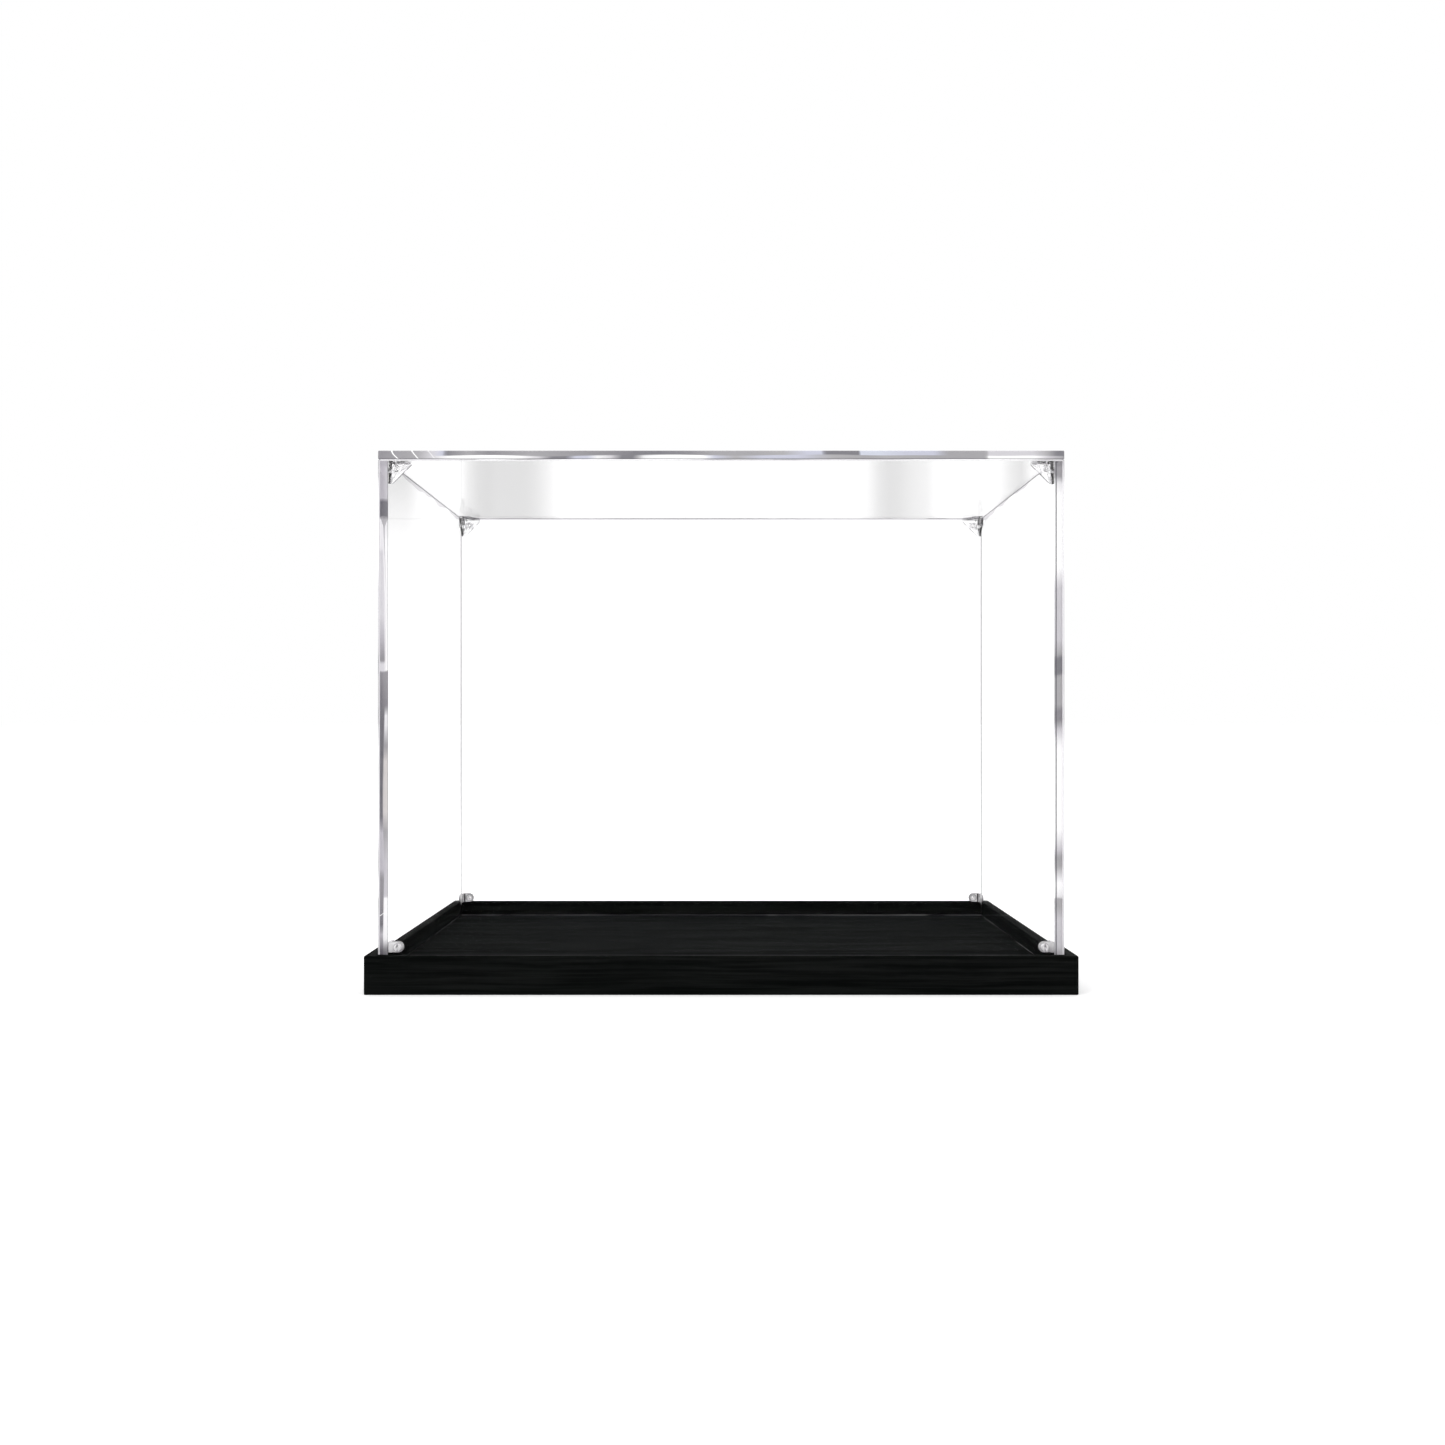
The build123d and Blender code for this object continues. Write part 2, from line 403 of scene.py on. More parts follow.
def table_material():
    """Matt, with a glow that depends on the kind of ray."""
    material, tree, out = new_material("pale_table")
    path = add_node(tree, "ShaderNodeLightPath")
    lift = times(path["Is Glossy Ray"], TABLE_LIFT_MIRRORED)
    lift = maths("MULTIPLY_ADD", path["Is Transmission Ray"], TABLE_LIFT_THROUGH, lift)
    lift = maths("MULTIPLY_ADD", path["Is Camera Ray"], TABLE_LIFT, lift)
    matt = add_node(tree, "ShaderNodeBsdfDiffuse", {"Color": TABLE_COLOUR})[0]
    glow = follow("ShaderNodeEmission", {"Strength": lift})[0]
    fill(out["Surface"], follow("ShaderNodeAddShader", {0: matt, 1: glow})[0])
    return material


def table():
    """The plane under the case."""
    half = TABLE_HALF
    mesh = bpy.data.meshes.new("table")
    corners = [(-half, -half, 0), (half, -half, 0), (half, half, 0), (-half, half, 0)]
    mesh.from_pydata(corners, [], [(0, 1, 2, 3)])
    mesh.materials.append(table_material())
    plane = new_object("table", mesh)
    plane.location.z = cad_low.z - TABLE_GAP
    print("table", 2 * half, "m square")


table()

# %% [markdown]
# ## Shared effects
#
# Three effects are shared. The first gives how far a point on a box-shaped piece is from the
# nearest edge of that box. Of the distances to the box's sides along X, Y and Z, one is zero on
# the surface, and the middle one of the three is the distance to the edge.


# %% Distance to an edge
def edge_distance_group():
    """How far a place is from the nearest edge of a box."""
    inputs = {"Place": VECTOR, "Centre": VECTOR, "Half Size": ("Vector", (1, 1, 1))}
    group, given, result = new_group("edge_distance", inputs, ["Distance"])
    away = vector_maths("ABSOLUTE", vector_maths("SUBTRACT", given["Place"], given["Centre"]))
    side = separate(vector_maths("SUBTRACT", given["Half Size"], away))
    nearer = maths("MINIMUM", side["X"], side["Y"])
    further = maths("MAXIMUM", side["X"], side["Y"])
    middle = maths("MAXIMUM", nearer, maths("MINIMUM", further, side["Z"]))
    fill(result["Distance"], middle)
    return group


EDGE_DISTANCE = edge_distance_group()

# %% [markdown]
# The second is wood grain that still shows through paint. Long streaks are noise that is
# stretched along the board and bent by slow waves. Pores are the short fine scratches between
# them. Lengths are in metres, because the coordinates are.

# %% Wood grain
GRAIN_WAVES = 14.0  # to the metre
PORE_FINENESS = (5.0, 4.5, 4.5)  # how much finer than the streaks, along the board and across it
STREAK_NOISE = (0.35, 0.68)  # the noise where a streak begins, and where it is full
PORE_NOISE = (0.60, 0.72)


def grain_group():
    """Streaks and pores that run along X."""
    inputs = {
        "Place": VECTOR,
        "Streak Length": ("Float", 0.1),
        "Streak Width": ("Float", 0.003),
        "Wave": ("Float", 0.002),
    }
    group, given, result = new_group("painted_grain", inputs, ["Streaks", "Pores"])
    wave = times(minus(noise(given["Place"], GRAIN_WAVES, 2.0), 0.5), given["Wave"])
    part = separate(given["Place"])
    along = maths("DIVIDE", part["X"], given["Streak Length"])
    across = maths("DIVIDE", maths("ADD", part["Y"], wave), given["Streak Width"])
    up = maths("DIVIDE", maths("ADD", part["Z"], wave), given["Streak Width"])
    place = follow("ShaderNodeCombineXYZ", {"X": along, "Y": across, "Z": up})[0]
    streaks = noise(place, 1.0, 4.0, 0.6)
    pores = noise(vector_maths("MULTIPLY", place, PORE_FINENESS), 1.0, 2.0)
    fill(result["Streaks"], ramp(streaks, *STREAK_NOISE, smooth=True))
    fill(result["Pores"], ramp(pores, *PORE_NOISE, smooth=True))
    return group


GRAIN = grain_group()

# %% [markdown]
# The third is the trace of a cleaning cloth: soft cloudy patches that are a little duller than
# the rest, and finer hairlines inside them.

# %% Wiped surface
PATCH_NOISE = (0.42, 0.70)  # the noise where a patch begins, and where it is full
HAIRLINE_NOISE = (0.66, 0.74)
HAIRLINE_TURN = (0.4, 0.7, 0.5)  # the way the hairlines run, in radians round each axis
HAIRLINE_FINENESS = (0.7, 26.0, 26.0)  # longer than a patch, and far narrower


def wiped_group():
    """Dull patches, and the hairlines in them."""
    inputs = {"Place": VECTOR, "Patch Size": ("Float", 0.05)}
    group, given, result = new_group("wiped_surface", inputs, ["Patches", "Hairlines"])
    scale = {0: given["Place"], "Scale": maths("DIVIDE", 1.0, given["Patch Size"])}
    place = follow("ShaderNodeVectorMath", scale, operation="SCALE")[0]
    patches = ramp(noise(place, 1.0, 3.0), *PATCH_NOISE, smooth=True)
    lines = noise(mapping(place, Rotation=HAIRLINE_TURN, Scale=HAIRLINE_FINENESS), 1.0)
    hairlines = ramp(lines, *HAIRLINE_NOISE, smooth=True)
    fill(result["Patches"], patches)
    fill(result["Hairlines"], times(hairlines, patches))
    return group


WIPED = wiped_group()

# %% [markdown]
# ## Painted wood
#
# The tray is wood under a thin matt black paint. The paint levels most of the grain, so the
# streaks are faint: slightly lighter and slightly smoother bands. Along the edges the paint is
# rubbed a little thin, and its lighter colour there is also a painted highlight on the eased edges.
# The rails at the sides run front to back, so their grain is turned a quarter, and the floor board's
# top is a touch greyer than the rails.

# %% Painted wood
tray_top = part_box("front_rail")[1].z
TRAY_CENTRE = (0.0, 0.0, tray_top / 2)
TRAY_HALF = (cad_high.x, cad_high.y, tray_top / 2)
RAIL_PAINT = dict(
    dark=(0.0022, 0.0028, 0.0026), light=(0.0072, 0.0080, 0.0076),
    streak_width=1.8 * MM, roughness=0.65, gloss=0.012,
)
FLOOR_PAINT = dict(
    dark=(0.0045, 0.0050, 0.0050), light=(0.0085, 0.0092, 0.0092),
    streak_width=6.0 * MM, roughness=0.85, gloss=0.004,
)
STREAK_LENGTH = 75 * MM
STREAK_WAVE = 4 * MM
STREAK_ROUGHNESS = (0.06, -0.05)  # what is added beside a streak, and where it is full
STREAK_HEIGHT = 0.5  # beside the depth of a pore
PAINT_BUMPS = (0.20, 0.02 * MM)  # strength and depth
PAINT_PATCH = 60 * MM
PATCH_POLISH = 0.05
# Rubbed paint along the edges, in a lighter colour that also paints their highlight.
WORN_HIGHLIGHT_COLOUR = (0.022, 0.021, 0.020)
WORN_HIGHLIGHT_WIDTH = 0.9 * MM  # how far from an edge the paint is rubbed
WORN_HIGHLIGHT_SHARE = 0.45  # how much of it is rubbed, in the middle of a wiped patch
WORN_HIGHLIGHT_THROUGH = 0.5  # how much the rubbed colour shows there


def painted_wood(name, turn, dark, light, streak_width, roughness, gloss):
    """Black painted wood whose grain is turned about Z by an angle in degrees."""
    material, tree, out = new_material(name)
    place = add_node(tree, "ShaderNodeTexCoord")["Object"]
    turned = mapping(place, Rotation=(0, 0, math.radians(turn)))
    sizes = {"Streak_Length": STREAK_LENGTH, "Streak_Width": streak_width, "Wave": STREAK_WAVE}
    grain = use_group(GRAIN, Place=turned, **sizes)
    wiped = use_group(WIPED, Place=place, Patch_Size=PAINT_PATCH)
    edge = use_group(EDGE_DISTANCE, Place=place, Centre=TRAY_CENTRE, Half_Size=TRAY_HALF)
    # Painted highlight and rubbed paint along the edges, stronger in the wiped patches.
    worn_highlight = ramp(edge["Distance"], 0.0, WORN_HIGHLIGHT_WIDTH, 1.0, 0.0, smooth=True)
    worn_highlight = times(worn_highlight, ramp(wiped["Patches"], 0.0, 1.0, 0.0, WORN_HIGHLIGHT_SHARE))
    colour = blend(grain["Streaks"], dark, light)
    colour = blend(times(worn_highlight, WORN_HIGHLIGHT_THROUGH), colour, WORN_HIGHLIGHT_COLOUR)
    beside, full = [roughness + change for change in STREAK_ROUGHNESS]
    rough = ramp(grain["Streaks"], 0.0, 1.0, beside, full)
    rough = minus(rough, times(wiped["Patches"], PATCH_POLISH))
    height = minus(times(grain["Streaks"], STREAK_HEIGHT), grain["Pores"])
    finish = {
        "Base Color": colour,
        "Roughness": rough,
        "Specular IOR Level": gloss,
        "Normal": bump(height, *PAINT_BUMPS),
    }
    fill(out["Surface"], follow("ShaderNodeBsdfPrincipled", finish)[0])
    return material


long_rail_paint = painted_wood("black_paint_long_rails", turn=0, **RAIL_PAINT)
side_rail_paint = painted_wood("black_paint_side_rails", turn=90, **RAIL_PAINT)
paint_node("front_rail", long_rail_paint)
paint_node("back_rail", long_rail_paint)
paint_node("left_rail", side_rail_paint)
paint_node("right_rail", side_rail_paint)
paint_node("floor_board", painted_wood("black_paint_floor", turn=0, **FLOOR_PAINT))
print("painted wood up to", round(tray_top / MM, 1), "mm")

# %% [markdown]
# ## Clear parts
#
# Clear parts are solid pieces with an inside, so light bends at every face as it does in real
# acrylic. A volume absorption takes almost nothing from a view straight through 4 mm, and about
# half from one that runs along a sheet. Light from the lamps goes straight through, with a
# Transparent shader, so that the case doesn't shade its own inside.


# %% Clear shell
def clear_shell(tree, out, skin, tint, density):
    """Ends a clear material: the skin, straight light from the lamps, and absorption inside."""
    path = add_node(tree, "ShaderNodeLightPath")
    straight = maths("MAXIMUM", path["Is Shadow Ray"], path["Is Diffuse Ray"])
    lamp_light = add_node(tree, "ShaderNodeBsdfTransparent")[0]
    depth = add_node(tree, "ShaderNodeVolumeAbsorption", {"Color": tint, "Density": density})[0]
    fill(out["Surface"], follow("ShaderNodeMixShader", {0: straight, 1: skin, 2: lamp_light})[0])
    fill(out["Volume"], depth)


# %% [markdown]
# ## Acrylic sheets
#
# A sheet has two finishes, which are two materials on one mesh. Its thin sides are sawn and then
# polished, and the light that the sheet traps comes out there, so they look silvery: that light and
# what the sides mirror are painted into their colour. Its broad faces come from the casting mould
# and are as smooth as glass, with the faint traces of a cleaning cloth. On the inside of the side
# sheets a wavy grey line of glue runs just below the top sheet, and widens to the back.

# %% Cast faces
ACRYLIC_IOR = 1.49
ACRYLIC_TINT = (0.86, 0.83, 0.88)
ACRYLIC_DENSITY = 8.0
FACE_REFLECTION = (0.08, 0.08, 0.08)
FACE_PATCH = 70 * MM
PATCH_DULLNESS = 0.005
HAIRLINE_DULLNESS = 0.02
MIRROR_FREE = 0.80  # the share of the skin that bends light and mirrors nothing
GLUE_GREY = (0.76, 0.745, 0.77)
GLUE_WIDTH = (1.0 * MM, 3.3 * MM)  # at the front and at the back
GLUE_WAVES = 26.0  # to the metre
GLUE_WAVE_NOISE = (0.35, 0.65)
GLUE_WAVE_WIDTH = (0.3, 1.7)  # what the waves make of the width, from least to most
ON_FACE = 0.1 * MM  # how near a place is to a face that it lies on
GLUE_END = 0.05 * MM  # keeps the glue off the front and back sheets
wall_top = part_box("left_sheet")[1].z
inside_low = Vector((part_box("left_sheet")[1].x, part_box("front_sheet")[1].y, 0.0))
inside_high = Vector((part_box("right_sheet")[0].x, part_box("back_sheet")[0].y, 0.0))
inside = inside_high - inside_low
print("inside of the cover, in mm:", round(inside.x / MM, 1), "by", round(inside.y / MM, 1))


def glue_seam(place):
    """A mask for the glue on the inner faces of the side sheets, just below the top sheet."""
    part = separate(place)
    from_face = minus(maths("ABSOLUTE", part["X"]), inside_high.x)
    on_face = maths("LESS_THAN", maths("ABSOLUTE", from_face), ON_FACE)
    off_ends = maths("LESS_THAN", maths("ABSOLUTE", part["Y"]), inside_high.y - GLUE_END)
    width = ramp(part["Y"], inside_low.y, inside_high.y, *GLUE_WIDTH)
    waves = ramp(noise(place, GLUE_WAVES), *GLUE_WAVE_NOISE, *GLUE_WAVE_WIDTH)
    drop = minus(wall_top, part["Z"])
    seam = maths("LESS_THAN", drop, times(width, waves))
    return times(seam, times(on_face, off_ends))


def cast_face_material():
    """The broad faces. Most of the skin only bends light, which keeps reflections faint."""
    material, tree, out = new_material("acrylic_cast_face")
    place = add_node(tree, "ShaderNodeTexCoord")["Object"]
    wiped = use_group(WIPED, Place=place, Patch_Size=FACE_PATCH)
    lines = times(wiped["Hairlines"], HAIRLINE_DULLNESS)
    rough = maths("ADD", times(wiped["Patches"], PATCH_DULLNESS), lines)
    colour = blend(glue_seam(place), WHITE, GLUE_GREY)
    mirroring = {
        "Base Color": colour,
        "Roughness": rough,
        "IOR": ACRYLIC_IOR,
        "Transmission Weight": 1.0,
        "Specular Tint": FACE_REFLECTION,
    }
    mirrors = follow("ShaderNodeBsdfPrincipled", mirroring)[0]
    bending = {"Color": colour, "Roughness": rough, "IOR": ACRYLIC_IOR}
    bends = follow("ShaderNodeBsdfRefraction", bending)[0]
    skin = follow("ShaderNodeMixShader", {0: MIRROR_FREE, 1: mirrors, 2: bends})[0]
    clear_shell(tree, out, skin, ACRYLIC_TINT, ACRYLIC_DENSITY)
    return material


# %% [markdown]
# A polished edge isn't one grey. Along its length it goes from silver to white to a deeper grey,
# now softly and now at a hard step, because each stretch mirrors something else. These bands are
# painted reflections. Often the outer half mirrors one thing and the inner half another, so each
# half has its own colour ramp along the edge. Bands are listed from the low end of an edge to its
# high end, each with its place as a share of the edge's length.

# %% Painted reflections along the edges
MIST = (0.86, 0.855, 0.87)
LILAC = (0.67, 0.70, 0.80)
SKY = (0.62, 0.63, 0.74)
SILVER = (0.68, 0.665, 0.70)
ASH = (0.50, 0.49, 0.505)
PEWTER = (0.44, 0.43, 0.45)
STEEL = (0.31, 0.30, 0.325)
SLATE = (0.25, 0.245, 0.27)
WARM = (0.74, 0.71, 0.69)
LEFT_OUTER = [
    (0.04, STEEL), (0.07, SILVER), (0.09, SLATE), (0.14, PEWTER), (0.18, PEWTER), (0.20, SILVER),
    (0.27, SILVER), (0.30, SLATE), (0.42, SLATE), (0.48, SLATE), (0.53, STEEL), (0.586, PEWTER),
    (0.589, MIST), (0.604, MIST), (0.61, PEWTER), (0.65, SILVER), (0.70, MIST), (0.818, MIST),
    (0.830, WHITE), (0.885, WHITE), (0.889, SLATE), (0.921, SLATE), (0.923, SILVER), (1.0, SILVER),
]
LEFT_INNER = [
    (0.04, PEWTER), (0.06, WHITE), (0.140, WHITE), (0.145, SILVER), (0.21, SILVER), (0.27, ASH),
    (0.31, WARM), (0.41, WARM), (0.44, PEWTER), (0.48, MIST), (0.50, MIST), (0.52, STEEL),
    (0.586, PEWTER), (0.589, WHITE), (0.84, WHITE), (0.883, MIST), (0.889, SLATE), (0.921, SLATE),
    (0.923, SILVER), (1.0, SILVER),
]
RIGHT_BANDS = [
    (0.03, SILVER), (0.10, SILVER), (0.125, ASH), (0.142, ASH), (0.145, MIST), (0.17, WHITE),
    (0.182, MIST), (0.205, ASH), (0.222, PEWTER), (0.238, SILVER), (0.258, MIST), (0.28, WHITE),
    (0.43, WHITE), (0.452, MIST), (0.471, SILVER), (0.490, STEEL), (0.508, STEEL), (0.522, ASH),
    (0.577, ASH), (0.583, SLATE), (0.612, SLATE), (0.622, ASH), (0.65, SILVER), (0.75, SILVER),
    (0.79, WHITE), (0.93, WHITE), (0.955, MIST), (0.97, PEWTER), (1.0, PEWTER),
]
BACK_BANDS = [
    (0.0, PEWTER), (0.4, STEEL), (0.7, SILVER), (0.9, PEWTER), (0.985, MIST), (1.0, MIST),
]
TOP_UPPER = [
    (0.0, STEEL), (0.055, PEWTER), (0.080, SILVER), (0.093, SKY), (0.099, SLATE), (0.13, PEWTER),
    (0.16, STEEL), (0.22, PEWTER), (0.34, STEEL), (0.37, SLATE), (0.41, SLATE), (0.45, STEEL),
    (0.49, PEWTER), (0.545, PEWTER), (0.59, ASH), (0.625, SKY), (0.645, SKY), (0.650, SLATE),
    (0.700, SLATE), (0.703, LILAC), (0.73, LILAC), (0.77, SKY), (0.81, SKY), (0.83, PEWTER),
    (0.886, PEWTER), (0.890, SILVER), (0.955, SILVER), (0.975, ASH), (0.99, SLATE), (1.0, SLATE),
]
TOP_LOWER = [
    (0.0, STEEL), (0.055, PEWTER), (0.080, SILVER), (0.098, MIST), (0.113, WHITE), (0.20, WHITE),
    (0.235, SILVER), (0.255, SLATE), (0.275, SLATE), (0.288, SKY), (0.305, SKY), (0.32, MIST),
    (0.34, SILVER), (0.355, SLATE), (0.372, SLATE), (0.388, MIST), (0.43, WHITE), (0.47, WHITE),
    (0.49, SKY), (0.52, ASH), (0.56, SKY), (0.61, SKY), (0.66, ASH), (0.71, PEWTER), (0.74, ASH),
    (0.83, PEWTER), (0.886, PEWTER), (0.890, WHITE), (0.955, WHITE), (0.975, SILVER),
    (1.0, PEWTER),
]
print("most bands on one edge:", max(len(LEFT_OUTER), len(RIGHT_BANDS), len(TOP_LOWER)))

# %% [markdown]
# On the left sheet a grey line, the neck, runs between two bright halves, and widens upwards; like
# the halves it is a painted reflection. A few bright slanting painted highlights cross an edge near
# a corner. The chamfer on the inner side catches less light, and a thin line of painted shade draws
# that. Seen from inside the sheet, an edge is a glued joint with quieter colours, also painted
# reflections. Below the tray's rim such a joint gets painted shade, because it has only black paint
# to mirror.

# %% Lines and joints on the edges
BORDER_SOFTNESS = 0.12
# Half the width of the neck, a line of painted reflection, as a share of the edge's, by the place
# along the edge.
LEFT_NECK = [
    (0.50, 0.0), (0.62, 0.10), (0.72, 0.06), (0.82, 0.10), (0.870, 0.18), (0.888, 1.0),
    (0.889, 0.0),
]
NO_NECK = [(0.0, 0.0), (1.0, 0.0)]
NECK_PLACE = -0.25
NECK_STRENGTH = 0.6
NECK_SOFTNESS = 0.08
# The share of the edge where each painted highlight is, and its strength.
TOP_GLINTS = [(0.024, 1.0), (0.054, 0.9), (0.078, 0.4)]
LEFT_GLINTS = [(0.112, 0.9)]
GLINT_SLANT = 0.006
GLINT_WIDTH = (0.0005, 0.0016)  # of its bright middle, and with its soft border
# Each painted shade line's distance from the sheet's edge, and its strength.
FAINT_LINE = (0.1 * MM, 0.3)
LOWER_LINE = (0.15 * MM, 0.45)
DARK_LINE = (0.75 * MM, 0.95)
CHAMFER_SHADE_COLOUR = (0.12, 0.12, 0.14)
LINE_HALF = 0.25 * MM
LINE_SOFTNESS = 0.1 * MM
LINE_SIDE = (0.0, -0.4)  # the places across the edge where a line begins, and where it is full
# The colour of the upright joints, and the bands of the level ones, which paint what the joints
# mirror.
JOINT_GREY = (0.40, 0.395, 0.41)
PLAIN_JOINTS = (JOINT_GREY, [(0.0, JOINT_GREY), (1.0, JOINT_GREY)])
BACK_JOINTS = (JOINT_GREY, [(0.0, SILVER), (0.05, MIST), (0.95, MIST), (1.0, SILVER)])
FRONT_JOINTS = (MIST, [(0.0, WHITE), (1.0, WHITE)])
# Painted shade below the tray's rim, where a joint has only black paint to mirror.
UNDER_RIM_SHADE = (0.02, 0.02, 0.02)
RIM_FADE = 2 * MM  # how far below the rim a joint is fully dark


def halves(along, border, outer, inner, neck):
    """The painted reflections of the two halves, with the neck between them."""
    on_outer = ramp(border, -BORDER_SOFTNESS, BORDER_SOFTNESS, smooth=True)
    inner, outer = colour_ramp(along, inner), colour_ramp(along, outer)
    colour = blend(on_outer, inner, outer)
    from_neck = minus(maths("ABSOLUTE", minus(border, NECK_PLACE)), colour_ramp(along, neck))
    in_neck = ramp(from_neck, -NECK_SOFTNESS, 0.0, NECK_STRENGTH, 0.0, smooth=True)
    return blend(in_neck, colour, PEWTER)


def with_painted_glints(along, across, glints, colour):
    """A colour with bright slanting painted highlights over it."""
    slanted = maths("MULTIPLY_ADD", across, GLINT_SLANT, along)
    # Each glint is a painted highlight.
    for glint_place, strength in glints:
        away = maths("ABSOLUTE", minus(slanted, glint_place))
        glint = ramp(away, *GLINT_WIDTH, strength, 0.0, smooth=True)
        colour = blend(glint, colour, WHITE)
    return colour


def with_chamfer_shade(edge_distance, across, line, colour):
    """A colour with a painted shade line along the inner side, where the chamfer catches less light.
    """
    place, strength = line
    on_line = between(edge_distance, place - LINE_HALF, place + LINE_HALF, LINE_SOFTNESS)
    inner_side = ramp(across, *LINE_SIDE, 0.0, strength)
    return blend(times(on_line, inner_side), colour, CHAMFER_SHADE_COLOUR)


def with_joints(from_inside, height, along, level, joints, colour):
    """A colour, with the joint's painted reflections where seen from inside, painted shade below the
    rim.
    """
    under_rim_shade = ramp(height, tray_top, tray_top - RIM_FADE, smooth=True)
    upright_joint, level_joint = joints
    joint = blend(level, upright_joint, colour_ramp(along, level_joint))
    # Painted shade below the tray's rim.
    joint = blend(under_rim_shade, joint, UNDER_RIM_SHADE)
    return blend(from_inside, colour, joint)


# %% [markdown]
# An edge's material puts these together. From the sheet's box it works out how far along the edge
# a point is, and how far across it, from -1 at the inner side to 1 at the outer one. The halves
# meet at the split, and noise that is stretched along the edge bends that border into narrow lens
# shapes. The brightest bands also glow a little, a painted glow for the light that the sheet pipes
# there.

# %% Polished edges
LENS_STRETCH = 12.0  # how much longer than wide a lens is
LENS_WAVES = 16.0  # to the metre
LENS_BEND = 1.6  # how far the lenses bend the border between the halves
LENS_SLIDE = 0.02  # and how far they slide the bands along the edge
LENS_NOISE = (0.3, 0.7)  # most of the noise lies between these
EDGE_ROUGHNESS = (0.06, 0.18)
EDGE_CLEARNESS = 0.12
# A painted glow on the brightest bands of the edges.
PAINTED_EDGE_GLOW = 0.22
PAINTED_GLOW_LEVELS = (0.5, 1.0)  # how bright an edge is where the glow begins, and where it is full
SAW_WAVES = 900.0  # to the metre
SAW_BUMPS = (0.15, 0.02 * MM)  # strength and depth


def polished_edge_material(
    node_name, outer, inner, shift,
    split=0.0, line=FAINT_LINE, glints=(), joints=PLAIN_JOINTS, neck=NO_NECK,
):
    """The thin sides of one sheet. The shift slides the noise, so that no two sheets match."""
    material, tree, out = new_material("acrylic_edge_" + node_name)
    low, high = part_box(node_name)
    centre, half = (low + high) / 2, (high - low) / 2
    thickness_axis = min(range(3), key=lambda axis: half[axis])
    first, second = ("XYZ"[axis] for axis in range(3) if axis != thickness_axis)
    place = add_node(tree, "ShaderNodeTexCoord")["Object"]
    away = vector_maths("SUBTRACT", place, tuple(centre))
    side = separate(vector_maths("DIVIDE", away, tuple(half)))
    reach = [maths("ABSOLUTE", side[axis]) for axis in (second, first)]
    on_second = maths("GREATER_THAN", *reach)
    along = mix(on_second, side[second], side[first])
    outwards = 1.0 if centre[thickness_axis] > 0 else -1.0
    across = times(side["XYZ"[thickness_axis]], outwards)
    stretch = [1.0, 1.0, 1.0]
    stretch[thickness_axis] = LENS_STRETCH
    lenses = noise(mapping(away, Location=shift, Scale=stretch), LENS_WAVES)
    lens = minus(lenses, 0.5)
    along = ramp(maths("MULTIPLY_ADD", lens, LENS_SLIDE, along), -1.0, 1.0)
    border = minus(maths("MULTIPLY_ADD", lens, LENS_BEND, across), split)
    colour = halves(along, border, outer, inner, neck)
    colour = with_painted_glints(along, across, glints, colour)
    edge = use_group(EDGE_DISTANCE, Place=place, Centre=tuple(centre), Half_Size=tuple(half))
    colour = with_chamfer_shade(edge["Distance"], across, line, colour)
    level = on_second if second == "Z" else 0.0
    from_inside = add_node(tree, "ShaderNodeNewGeometry")["Backfacing"]
    colour = with_joints(from_inside, separate(place)["Z"], along, level, joints, colour)
    finish = {
        "Base Color": colour,
        "Roughness": ramp(lenses, *LENS_NOISE, *EDGE_ROUGHNESS),
        "IOR": ACRYLIC_IOR,
        "Transmission Weight": EDGE_CLEARNESS,
        "Normal": bump(noise(place, SAW_WAVES), *SAW_BUMPS),
        # Painted glow: the brightest bands give off light of their own colour.
        "Emission Color": blend(ramp(colour, *PAINTED_GLOW_LEVELS), BLACK, colour),
        "Emission Strength": PAINTED_EDGE_GLOW,
    }
    skin = follow("ShaderNodeBsdfPrincipled", finish)[0]
    clear_shell(tree, out, skin, ACRYLIC_TINT, ACRYLIC_DENSITY)
    return material


# %% [markdown]
# The frame's meshes are loose triangles. A copy is merged first, so that neighbouring faces share
# their corners and the solid is closed. Then each face is sorted by its normal: a face that looks
# along the sheet's thickness is a cast face, and the rest are the thin sides, the chamfers and the
# walls of the peg holes.

# %% Sheets
SQUARE_ON = 0.99  # the least that a normal points along an axis if the face looks along it
CAST_FACE = cast_face_material()
SHEETS = {
    "top_sheet": dict(
        outer=TOP_UPPER, inner=TOP_LOWER, shift=(0.0, 0.0, 0.0),
        split=-0.2, line=LOWER_LINE, glints=TOP_GLINTS,
    ),
    "front_sheet": dict(
        outer=RIGHT_BANDS, inner=LEFT_INNER, shift=(0.3, 0.0, 0.1), joints=FRONT_JOINTS
    ),
    "back_sheet": dict(
        outer=BACK_BANDS, inner=LEFT_OUTER, shift=(0.7, 0.0, 0.2), joints=BACK_JOINTS
    ),
    "left_sheet": dict(
        outer=LEFT_OUTER, inner=LEFT_INNER, shift=(0.0, 0.4, 0.0),
        glints=LEFT_GLINTS, neck=LEFT_NECK,
    ),
    "right_sheet": dict(
        outer=RIGHT_BANDS, inner=RIGHT_BANDS, shift=(0.0, 0.9, 0.3), line=DARK_LINE
    ),
}


def merged_copy(node_name):
    """A closed copy of a CAD node's mesh, to build a piece from."""
    shape = bmesh.new()
    shape.from_mesh(nodes[node_name].data)
    bmesh.ops.remove_doubles(shape, verts=shape.verts, dist=0.001 * MM)
    return shape


